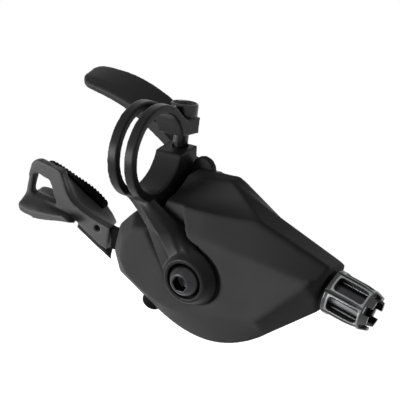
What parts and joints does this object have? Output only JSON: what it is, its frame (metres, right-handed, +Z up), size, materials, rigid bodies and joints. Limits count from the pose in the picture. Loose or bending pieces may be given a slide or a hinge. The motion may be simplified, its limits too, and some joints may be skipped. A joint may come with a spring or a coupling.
{
  "type": "trigger gear shifter",
  "caption": "Right-hand trigger gear shifter on a split handlebar band, with a thumb paddle that winds the cable, a two-way release lever and a screw cable adjuster.",
  "frame": {"origin": "middle of the handlebar bore, on the bar's axis", "axes": "+X along the bar towards the cable adjuster, +Y along the lever axle towards the main lever, +Z up in the picture (rearwards when fitted)"},
  "size_m": [0.1196, 0.0444, 0.0666],
  "materials": {
    "case_paint": "satin dark grey paint",
    "bracket_paint": "satin near-black paint",
    "lever_paint": "satin dark grey paint",
    "release_plastic": "fine-grained grey plastic",
    "pad_rubber": "matt black ribbed rubber",
    "seal_rubber": "matt black rubber",
    "dark_steel": "dark polished steel",
    "adjuster_metal": "glossy dark anodised metal",
    "bright_metal": "bright turned metal",
    "works_steel": "plain pressed steel",
    "works_plastic": "pale engineering plastic"
  },
  "bodies": {
    "case": {"main_case": "case_paint", "far_cover": "case_paint", "cover_screws": "dark_steel", "clamp_bracket": "bracket_paint", "clamp_bolt": "dark_steel", "bracket_screw": "dark_steel", "cable_port_plug": "seal_rubber", "lever_axle": "works_steel", "base_plate": "works_steel", "base_screws": "works_steel", "hold_pawl_pin": "works_steel", "hold_pawl_spring": "works_steel", "lever_bush": "works_plastic", "axle_washer": "works_steel", "axle_nut": "works_steel", "spool_spring": "works_steel", "main_lever_spring": "works_steel", "release_spring": "works_steel", "adjuster_seal": "seal_rubber"},
    "main_lever": {"main_lever": "lever_paint", "drive_plate": "works_steel", "drive_pawl_pin": "works_steel", "drive_pawl_spring": "works_steel"},
    "spool": {"cable_spool": "works_plastic"},
    "hold_pawl": {"hold_pawl": "works_steel"},
    "drive_pawl": {"drive_pawl": "works_steel"},
    "release_lever": {"release_lever": "release_plastic", "release_pad": "pad_rubber"},
    "adjuster": {"adjuster_barrel": "adjuster_metal"},
    "adjuster_core": {"adjuster_core": "bright_metal"}
  },
  "joints": [
    {"name": "main_lever_swing", "type": "hinge", "parent": "case", "child": "main_lever", "pos_m": [0.0188, 0.02, -0.0298], "axis": [0, -1, 0], "range_deg": [0, 36], "stiffness_Nm_per_rad": 0.3, "springref_deg": -28.65, "deforming": ["main_lever_spring", "spool_spring", "hold_pawl_spring"]},
    {"name": "spool_turn", "type": "hinge", "parent": "case", "child": "spool", "pos_m": [0.0188, 0.0025, -0.0298], "axis": [0, -1, 0], "range_deg": [0, 36]},
    {"name": "hold_pawl_lift", "type": "hinge", "parent": "case", "child": "hold_pawl", "pos_m": [0.0115, 0.0002, -0.04244], "axis": [0, 1, 0], "range_deg": [0, 20]},
    {"name": "drive_pawl_lift", "type": "hinge", "parent": "main_lever", "child": "drive_pawl", "pos_m": [0.0252, 0.0048, -0.04292], "axis": [0, 1, 0], "range_deg": [0, 12], "stiffness_Nm_per_rad": 0.01, "springref_deg": -28.65, "deforming": ["drive_pawl_spring"]},
    {"name": "release_lever_swing", "type": "hinge", "parent": "case", "child": "release_lever", "pos_m": [0.0188, 0.0101, -0.0298], "axis": [0, -1, 0], "range_deg": [-4, 8], "stiffness_Nm_per_rad": 0.6, "deforming": ["release_spring"]},
    {"name": "adjuster_turn", "type": "hinge", "parent": "case", "child": "adjuster", "pos_m": [0.0566, 0.0025, -0.02821], "axis": [0.9681, 0, -0.2504], "range_deg": [0, 1080]},
    {"name": "adjuster_core_slide", "type": "slide", "parent": "case", "child": "adjuster_core", "axis": [0.9681, 0, -0.2504], "range_m": [0, 0.0025]}
  ],
  "couplings": [
    {"joint": "spool_turn", "follows": "main_lever_swing", "ratio": 1},
    {"joint": "hold_pawl_lift", "follows": "main_lever_swing", "ratio": 0.55},
    {"joint": "adjuster_core_slide", "follows": "adjuster_turn", "m_per_rad": 0.00012732}
  ]
}
